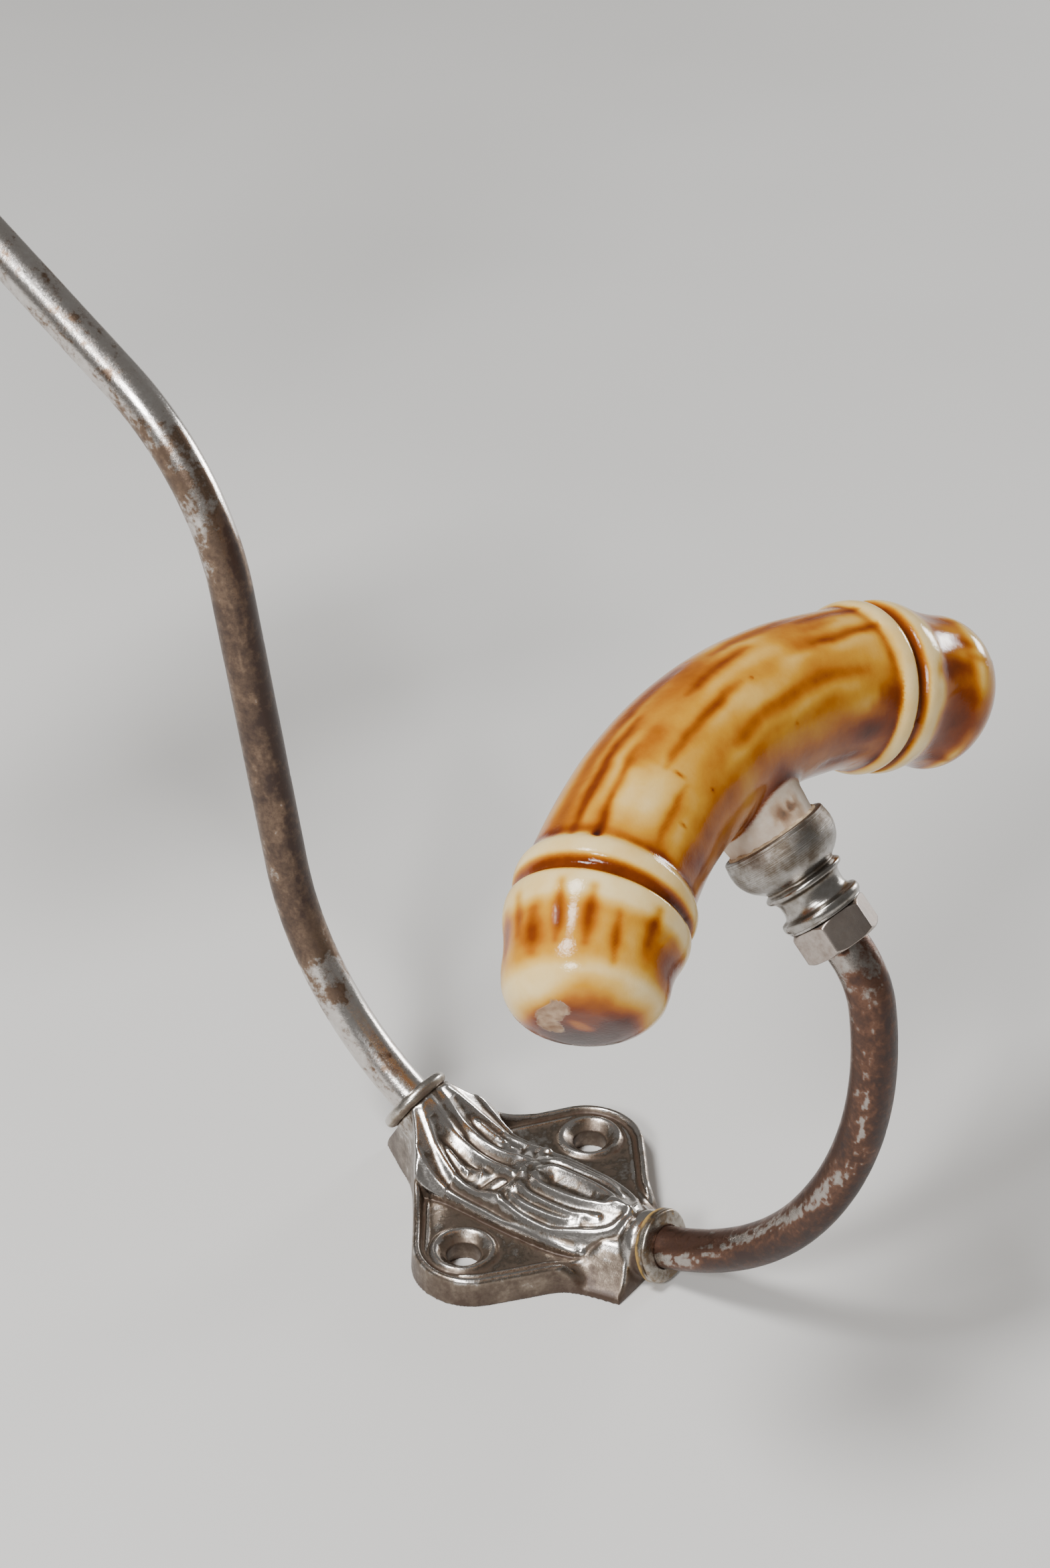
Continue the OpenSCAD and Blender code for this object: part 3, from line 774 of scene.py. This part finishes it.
def make_rod(name, node, socket, chain, depth, material, wear_and_shade_of, seed):
    lines, angles = rod_line(socket, chain, depth)
    around = 56
    turn = np.radians(np.arange(around) * 360 / around)
    rows = len(lines)
    up = np.stack([-np.sin(np.radians(angles)), np.cos(np.radians(angles))], 1)
    normal = np.zeros((rows, around, 3))
    normal[..., 0] = -np.sin(turn)
    normal[..., 1:] = up[:, None, :] * np.cos(turn)[None, :, None]
    centre = np.zeros((rows, 1, 3))
    centre[:, 0, 1:] = lines
    surface = centre + ROD_R * normal
    length = 0.4 * np.arange(rows)[:, None] - depth + 0 * turn
    degrees = np.degrees(turn)[None, :] + 0 * length
    wear_and_shade = wear_and_shade_of(surface, length, degrees, seed)
    pits = smooth_step(noise(surface, 0.9, seed + 1) + 0.5 * noise(surface, 2.0, seed + 2), 0.35, 0.9)
    sink = 0.012 + 0.035 * pits * wear_and_shade + 0.02 * (noise(surface, 3.5, seed + 3) + 1) * wear_and_shade
    end = smooth_step(length, length.max() - 1.0, length.max())
    points = centre + (ROD_R - sink - 0.45 * end ** 2)[..., None] * normal
    points = points.reshape(-1, 3)
    faces = grid_faces(rows, around).tolist()
    faces += [list(range(around))[::-1], [(rows - 1) * around + i for i in range(around)]]
    values = {"wear_and_shade": wear_and_shade.reshape(-1)}
    return add_piece(name, points, faces, material, "hook_frame", [node], values)


def hat_rod_wear_and_shade(p, s, degrees, seed):
    """Bright near the plate and beyond the second bend, brown between them, and nearly black on the right,
    which is painted shade; a painted highlight runs along the right edge beyond the second bend.
    """
    flat = np.stack([s * 0.4, degrees * 0.061, 0 * s], -1)
    low = 26 + 6 * noise(p, 5, seed + 10)
    high = 108 + 8 * noise(p, 6, seed + 11)
    middle = smooth_step(s, low - 8, low + 10) * (1 - smooth_step(s, high - 14, high + 14))
    right = -np.sin(np.radians(degrees - 41))
    speck = smooth_step(noise(flat, 0.5, seed + 5) + 0.5 * noise(flat, 1.6, seed + 4), 0.35, 0.8)
    wear_and_shade = 0.24 + 0.12 * noise(p, 5, seed + 6) + 0.14 * speck + 0.10 * np.clip(-right, 0, 1) * (s > 112)
    # Painted shade: the right half of the rod is darkened, more so beyond 96 mm.
    dark = smooth_step(right + 0.35 * noise(flat, 2.4, seed + 7) + 0.2 * noise(flat, 0.7, seed + 8),
                       0.0, 0.45)
    tan = smooth_step(noise(flat, 1.3, seed + 9) + 0.6 * noise(flat, 0.5, seed + 12), 0.1, 0.6)
    brown = 0.80 + 0.26 * dark - 0.17 * tan * (1 - dark) + 0.08 * noise(p, 4, seed + 13)
    brown = brown - 0.34 * smooth_step(right, 0.0, 0.5) * (1 - smooth_step(s, 34, 50))
    brown = brown - 0.18 * (1 - smooth_step(s, 30, 44)) + 0.45 * dark * smooth_step(s, 96, 104)
    wear_and_shade = wear_and_shade * (1 - middle) + brown * middle
    patch = 0.35 + 0.65 * smooth_step(noise(p, 3, seed + 14) + 0.5 * noise(flat, 0.6, seed + 15), -0.5, 0.8)
    wear_and_shade = wear_and_shade + 0.34 * patch * smooth_step(s, 98, 108) * (1 - smooth_step(s, 122, 134)) * (1 - middle)
    # Painted highlight: a bright strip along the right edge beyond the second bend.
    painted_highlight_edge = smooth_step(right, 0.72, 0.86) * smooth_step(s, 96, 104) * (1 - smooth_step(s, 134, 142))
    spot = np.exp(-((s - 25) / 2.0) ** 2 - ((degrees - 38) / 30) ** 2)
    return np.clip(wear_and_shade - 0.75 * painted_highlight_edge + 0.45 * spot, 0.03, 1)


def coat_rod_rust_and_shade(p, s, degrees, seed):
    """Rust all over, darker still on one side as painted shade, with flakes of bare plate in a streak that
    winds along it.
    """
    at = curve(s, [(-8, 85), (0, 85), (7, 89), (17, 119), (28, 140), (42, 110), (54, 74), (62, 72), (70, 84),
                   (80, 80), (92, 60), (110, 50)])
    # Painted shade: one side of the rod is darkened beyond its rust.
    outer = smooth_step(-turn_between(degrees, at - 30 + 14 * noise(p, 3, seed + 13)), -15, 35)
    wear_and_shade = 0.74 + 0.22 * outer + 0.09 * noise(p, 4, seed + 4) + 0.07 * noise(p, 1.2, seed + 5)
    streak = np.exp(-((degrees - at - 8 * noise(p, 4, seed + 6)) / 21) ** 2)
    flat = np.stack([s * 0.45, degrees * 0.061, 0 * s], -1)
    flakes = noise(flat, 0.62, seed + 7) + 0.7 * noise(flat, 0.3, seed + 8) + 0.4 * noise(p, 5, seed + 12)
    low = -0.5 + 0.65 * smooth_step(s, 44, 74)
    band = smooth_step(s, 2, 6) * (1 - smooth_step(s, 72, 82))
    wear_and_shade = wear_and_shade - (0.14 + 0.46 * smooth_step(flakes, low, low + 0.6)) * streak * band
    near_nut = smooth_step(s, 78, 96)
    bright = smooth_step(noise(p, 1.5, seed + 9) + 0.6 * noise(p, 4, seed + 10), -0.6, 0.5)
    scratch = smooth_step(noise(flat, 0.35, seed + 11), 0.35, 0.7)
    wear_and_shade = wear_and_shade - 0.5 * near_nut * bright - 0.2 * scratch
    return np.clip(wear_and_shade, 0.05, 1)


# ---- turned pieces, drawn round +Z with the bar's middle at the origin ----

FERRULE = [(7.3, -16.05), (7.42, -15.86), (7.9, -15.84), (8.18, -16.0), (8.28, -16.35), (8.42, -17.2),
           (8.48, -18.0),
           (8.38, -19.1), (8.05, -20.2), (7.45, -21.2), (6.7, -22.0), (6.0, -22.55), (5.6, -22.9),
           (5.62, -23.2),
           (5.95, -23.45), (6.22, -23.7), (6.26, -24.0), (6.1, -24.3), (5.7, -24.5), (5.3, -24.8),
           (5.08, -25.4),
           (5.0, -26.2), (5.06, -27.0), (5.35, -27.55), (5.75, -27.8), (6.15, -27.95), (6.33, -28.3),
           (6.33, -28.8),
           (6.15, -29.2), (5.95, -29.35), (5.95, -29.6), (5.8, -29.7)]
NUT_FLATS, NUT_H, NUT_TOP = 11.0, 5.0, -29.85
BORE_R = 3.55


def lathe(profile, around=96, radius_at=None):
    """A closed profile of (radius, z), turned round Z. radius_at may change the radius by angle."""
    profile = np.array(profile, float)
    turn = np.radians(np.arange(around) * 360 / around)
    r = np.repeat(profile[:, :1], around, 1)
    z = np.repeat(profile[:, 1:], around, 1)
    if radius_at is not None:
        r = radius_at(r, z, np.degrees(turn)[None, :] + 0 * r)
    points = np.stack([r * np.cos(turn), r * np.sin(turn), z], -1).reshape(-1, 3)
    return points, grid_faces(len(profile), around, close_rows=True)


def dense(profile, step):
    """The profile with points added, so that none are further apart than step."""
    out = []
    for (r0, z0), (r1, z1) in zip(profile[:-1], profile[1:]):
        n = max(1, math.ceil(math.hypot(r1 - r0, z1 - z0) / step))
        out += [(r0 + (r1 - r0) * k / n, z0 + (z1 - z0) * k / n) for k in range(n)]
    return out + [profile[-1]]


def make_ferrule(name, joint, body, node, seed, material):
    origin, axes = joint_axes(joint)
    outer = [tuple(q) for q in spline(FERRULE, 4)]
    inner = [(BORE_R, -29.7), (BORE_R, -21.2), (5.2, -21.2), (7.3, -19.0)]
    profile = dense(outer, 0.35) + dense(inner, 1.0)

    def radius_at(r, z, degrees):
        ring = np.stack([r * np.cos(np.radians(degrees)), r * np.sin(np.radians(degrees)), z], -1)
        outside = r > 4.5
        turned = 0.018 * noise(np.stack([0 * z, 0 * z, z], -1), 0.32, seed) * smooth_step(z, -22.5, -20.5)
        return r + outside * (turned + 0.03 * noise(ring, 3.5, seed + 1))

    points, quads = lathe(profile, 128, radius_at)
    r = np.hypot(points[:, 0], points[:, 1])
    z = points[:, 2]
    cup = smooth_step(z, -22.5, -20.5)
    wear_and_shade = (0.22 + 0.12 * noise(points, 2.5, seed + 2)
            + 0.26 * cup * smooth_step(noise(points, 3.2, seed + 3), -0.5, 0.7))
    wear_and_shade = wear_and_shade + 0.35 * np.exp(-((z + 22.9) / 0.35) ** 2) + 0.3 * np.exp(-((z + 24.65) / 0.3) ** 2)
    wear_and_shade = (wear_and_shade + 0.3 * np.exp(-((z + 27.75) / 0.25) ** 2)
            + 0.25 * np.exp(-((z + 15.9) / 0.3) ** 2) * (r < 7.9))
    return add_piece(name, place(points, origin, axes), quads[:, ::-1], material, body,
                     [node],
                     {"wear_and_shade": np.clip(wear_and_shade, 0, 1), "along": z, "turned": 0.25 + 0.75 * cup})


def make_nut(name, joint, body, node, seed, material):
    origin, axes = joint_axes(joint)
    flat_r = NUT_FLATS / 2
    corner = flat_r / math.cos(math.radians(30))
    outer = dense([(0, NUT_TOP - 0.02), (0, NUT_TOP - 1.2),
                   (0, NUT_TOP - NUT_H + 1.2), (0, NUT_TOP - NUT_H + 0.02)], 0.16)
    levels = [z for _, z in outer]
    profile = [(4.2, NUT_TOP)] + [(6.0, z) for z in levels] + [(4.2, NUT_TOP - NUT_H),
                                                               (BORE_R, NUT_TOP - NUT_H + 0.4),
                                                              (BORE_R, NUT_TOP - 0.4)]

    def radius_at(r, z, degrees):
        side = np.radians((degrees + 30) % 60 - 30)
        hexagon = flat_r / np.cos(side)
        end = np.minimum(NUT_TOP - z, z - NUT_TOP + NUT_H)
        cone = corner - 0.72 + 1.35 * end
        return np.where(r > 5, smooth_min(smooth_min(hexagon, corner - 0.05, 0.1), cone, 0.12), r)

    points, quads = lathe(profile, 240, radius_at)
    wear_and_shade = 0.13 + 0.08 * noise(points, 3, seed) + 0.10 * smooth_step(noise(points, 1.0, seed + 1), 0.2, 0.8)
    return add_piece(name, place(points, origin, axes), quads[:, ::-1], material, body, [node],
                     {"wear_and_shade": np.clip(wear_and_shade, 0, 1), "along": points[:, 2]})


def make_ring(name, node, socket, mouth, profile, material, seed, wobble, wear_base):
    along = heading(socket[2])
    origin = np.array([0, *(np.array(socket[:2]) + mouth * along)])
    z = np.array([0, *along])
    axes = np.stack([np.array([1.0, 0, 0]), np.cross(z, [1.0, 0, 0]), z])
    smooth = [tuple(q) for q in spline(profile, 5)] + [(BORE_R, 2.3), (BORE_R, 0)]

    def radius_at(r, z_, degrees):
        ring = np.stack([r * np.cos(np.radians(degrees)), r * np.sin(np.radians(degrees)), z_], -1)
        return r + (r > 4.5) * wobble * noise(ring, 4, seed)

    points, quads = lathe(dense(smooth, 0.3), 96, radius_at)
    wear_and_shade = wear_base + 0.12 * noise(points, 1.6, seed + 1) + 0.5 * smooth_step(-points[:, 2], -1.2, -0.5)
    return add_piece(name, place(points, origin, axes), quads, material, "hook_frame", [node],
                     {"wear_and_shade": np.clip(wear_and_shade, 0, 1)})


def make_cement(name, joint, body, node, seed, material):
    origin, axes = joint_axes(joint)
    profile = dense([(6.6, -17.8), (6.8, -15.7), (7.05, -15.5), (7.3, -15.62), (7.42, -15.9), (7.28, -16.2),
                     (7.25, -18.5)], 0.2)

    def radius_at(r, z, degrees):
        return r

    points, quads = lathe(profile, 160, radius_at)
    rim = smooth_step(points[:, 2], -16.2, -15.8)
    points[:, 2] += rim * (0.16 * noise(points, 1.2, seed) + 0.1 * noise(points, 0.5, seed + 1))
    return add_piece(name, place(points, origin, axes), quads[:, ::-1], material, body, [node])


def turned_material():
    """Nickel turned on a lathe: fine rings round the axis, scratches and stains in the grooves."""
    m = Nodes("turned_nickel")
    place_ = m.place()
    along = m.attribute("along")
    rings = m.add("ShaderNodeTexNoise", {"Scale": 9.0, "Detail": 5.0, "Roughness": 0.7},
                  noise_dimensions="1D")
    m.set(rings.inputs["W"], along)
    stain = m.noise(500, 6, 0.7, place_)
    wear_and_shade = m.math("ADD", m.attribute("wear_and_shade"), m.range(stain, 0.35, 0.75, -0.12, 0.3))
    turned = m.attribute("turned")
    lines = m.range(rings.outputs["Fac"], 0.35, 0.65, -0.12, 0.2)
    wear_and_shade = m.math("ADD", wear_and_shade, m.math("MULTIPLY", lines, turned), clamp=True)
    colour = m.ramp(wear_and_shade, [(0.0, (0.52, 0.50, 0.48)), (0.3, (0.33, 0.31, 0.285)), (0.6, (0.15, 0.12, 0.09)),
                           (1.0, (0.05, 0.03, 0.02))])
    rough = m.math("ADD", m.range(wear_and_shade, 0.1, 0.8, 0.12, 0.5), m.math("MULTIPLY", turned, 0.06))
    height = m.math("MULTIPLY", rings.outputs["Fac"], turned)
    normal = m.bump(height, 0.00008, 0.6, m.bump(stain, 0.00005, 0.3))
    return m.finish(Base_Color=colour, Roughness=rough, Metallic=m.range(wear_and_shade, 0.6, 1.0, 1.0, 0.4),
                    Normal=normal)


def nut_material():
    """Nickel nut, brushed along its axis, a little pink."""
    m = Nodes("brushed_nickel")
    place_ = m.place()
    brush = m.noise(420, 6, 0.75, m.add("ShaderNodeVectorMath", {0: place_, 1: (1.0, 0.35, 0.35)},
                                        operation="MULTIPLY").outputs[0])
    wear_and_shade = m.math("ADD", m.attribute("wear_and_shade"), m.range(m.noise(800, 5, 0.7, place_), 0.4, 0.75, -0.06, 0.3),
                  clamp=True)
    colour = m.ramp(wear_and_shade, [(0.0, (0.47, 0.41, 0.37)), (0.4, (0.30, 0.245, 0.21)), (1.0, (0.07, 0.045, 0.03))])
    rough = m.math("ADD", m.range(wear_and_shade, 0.0, 0.7, 0.24, 0.5), m.range(brush, 0.3, 0.7, -0.05, 0.07))
    return m.finish(Base_Color=colour, Roughness=rough, Metallic=1.0,
                    Normal=m.bump(brush, 0.00005, 0.5))


def cement_material():
    m = Nodes("old_plaster")
    place_ = m.place()
    tone = m.math("ADD", m.noise(700, 6, 0.7, place_),
                  m.range(m.noise(180, 3, 0.6, place_), 0.3, 0.7, -0.15, 0.15))
    colour = m.ramp(tone, [(0.2, (0.66, 0.56, 0.40)), (0.5, (0.50, 0.38, 0.24)), (0.75, (0.22, 0.14, 0.08))])
    return m.finish(Base_Color=colour, Roughness=0.9, Normal=m.bump(tone, 0.00025, 0.8))


# ---- scene ----


def add_camera():
    """The photograph's view: the axes are the camera's right, up and backward directions."""
    data = bpy.data.cameras.new("camera")
    data.sensor_fit = "VERTICAL"
    data.sensor_height = 36.0
    data.lens = 76.86
    camera = bpy.data.objects.new("camera", data)
    bpy.context.scene.collection.objects.link(camera)
    right = Vector((0.595982, -0.802702, -0.021790))
    forward = Vector((0.663298, 0.507410, -0.550064))
    up = right.cross(forward)
    camera.matrix_world = Matrix.Translation((-0.336794, -0.259237, 0.364956)) @ Matrix(
        (right, up, -forward)).transposed().to_4x4()
    bpy.context.scene.camera = camera


def add_area_light(name, place_, target, size, power, colour=(1, 1, 1)):
    data = bpy.data.lights.new(name, "AREA")
    data.shape = "RECTANGLE"
    data.size, data.size_y = size
    data.energy = power
    data.color = colour
    light = bpy.data.objects.new(name, data)
    bpy.context.scene.collection.objects.link(light)
    direction = Vector(target) - Vector(place_)
    light.matrix_world = Matrix.Translation(place_) @ direction.to_track_quat("-Z", "Y").to_matrix().to_4x4()


def add_floor():
    bpy.ops.mesh.primitive_plane_add(size=6)
    floor = bpy.context.object
    floor.name = "floor"
    m = Nodes("floor")
    tone = m.ramp(m.noise(6, 3), [(0.3, (0.70, 0.69, 0.67)), (0.7, (0.74, 0.73, 0.71))])
    floor.data.materials.append(m.finish(Base_Color=tone, Roughness=0.75))


def add_world():
    world = bpy.data.worlds.new("world")
    bpy.context.scene.world = world
    world.use_nodes = True
    background = world.node_tree.nodes["Background"]
    background.inputs["Color"].default_value = (1.0, 0.97, 0.93, 1)
    background.inputs["Strength"].default_value = 0.2


glaze = glaze_material()
make_handle("coat_handle_glazed", "coat_handle_turn", "coat_grip", "coat_handle", 11, glaze)
make_handle("hat_handle_glazed", "hat_handle_turn", "hat_grip", "hat_handle", 57, glaze)
# The plate and rod colours below carry painted shade and painted highlight as well as wear and rust.
make_plate(metal_material("worn_and_shaded_plate", (0.64, 0.61, 0.58), (0.235, 0.19, 0.15), (0.06, 0.035, 0.022),
                          (0.18, 0.42)))
make_rod("hat_arm_rod", "hat_arm", HAT_SOCKET, HAT_CHAIN, 6,
         metal_material("speckled_shaded_rod", (0.72, 0.69, 0.66), (0.225, 0.155, 0.11), (0.038, 0.020, 0.014),
                        (0.18, 0.44)),
         hat_rod_wear_and_shade, 90)
make_rod("coat_arm_rod", "coat_arm", COAT_SOCKET, COAT_CHAIN, 5,
         metal_material("rusty_shaded_rod", (0.40, 0.37, 0.34), (0.17, 0.092, 0.064), (0.030, 0.012, 0.008),
                        (0.25, 0.4)),
         coat_rod_rust_and_shade, 120)
turned = turned_material()
nut = nut_material()
cement = cement_material()
for kind, seed in (("coat", 150), ("hat", 190)):
    joint, grip = kind + "_handle_turn", kind + "_grip"
    make_ferrule(kind + "_ferrule_turned", joint, grip, kind + "_ferrule", seed, turned)
    make_cement(kind + "_cement_rim", joint, grip, kind + "_handle_cement", seed + 10, cement)
    make_nut(kind + "_nut_hex", joint, kind + "_nut", kind + "_lock_nut", seed + 20, nut)
make_ring("hat_ring_bead", "hat_socket_ring", HAT_SOCKET, HAT_MOUTH,
          [(4.0, 0), (5.2, 0.02), (6.0, 0.3), (6.4, 0.85), (6.4, 1.4), (6.05, 1.95), (5.3, 2.25), (4.2, 2.3)],
          metal_material("ring_plate", (0.62, 0.59, 0.55), (0.33, 0.28, 0.22),
                                        (0.1, 0.06, 0.04)),
          230, 0.1, 0.18)
make_ring("coat_ring_flange", "coat_socket_ring", COAT_SOCKET, COAT_MOUTH,
          [(4.0, 0), (5.3, 0.02), (5.75, 0.25), (5.85, 0.7), (5.8, 1.3), (5.85, 1.8),
           (5.5, 2.15), (4.4, 2.3)],
          metal_material("ring_brass", (0.50, 0.47, 0.42), (0.21, 0.16, 0.115),
                                       (0.50, 0.31, 0.08)),
          240, 0.35, 0.42)

add_camera()
add_floor()
add_world()
add_area_light("key", (-0.42, 0.24, 1.05), (0, 0, 0.08), (0.28, 0.28), 12)
add_area_light("fill", (-0.92, -0.2, 0.78), (0, 0, 0.08), (0.24, 0.24), 10)
add_area_light("side", (1.0, -0.14, 0.2), (0, 0, 0.08), (0.24, 0.24), 5)
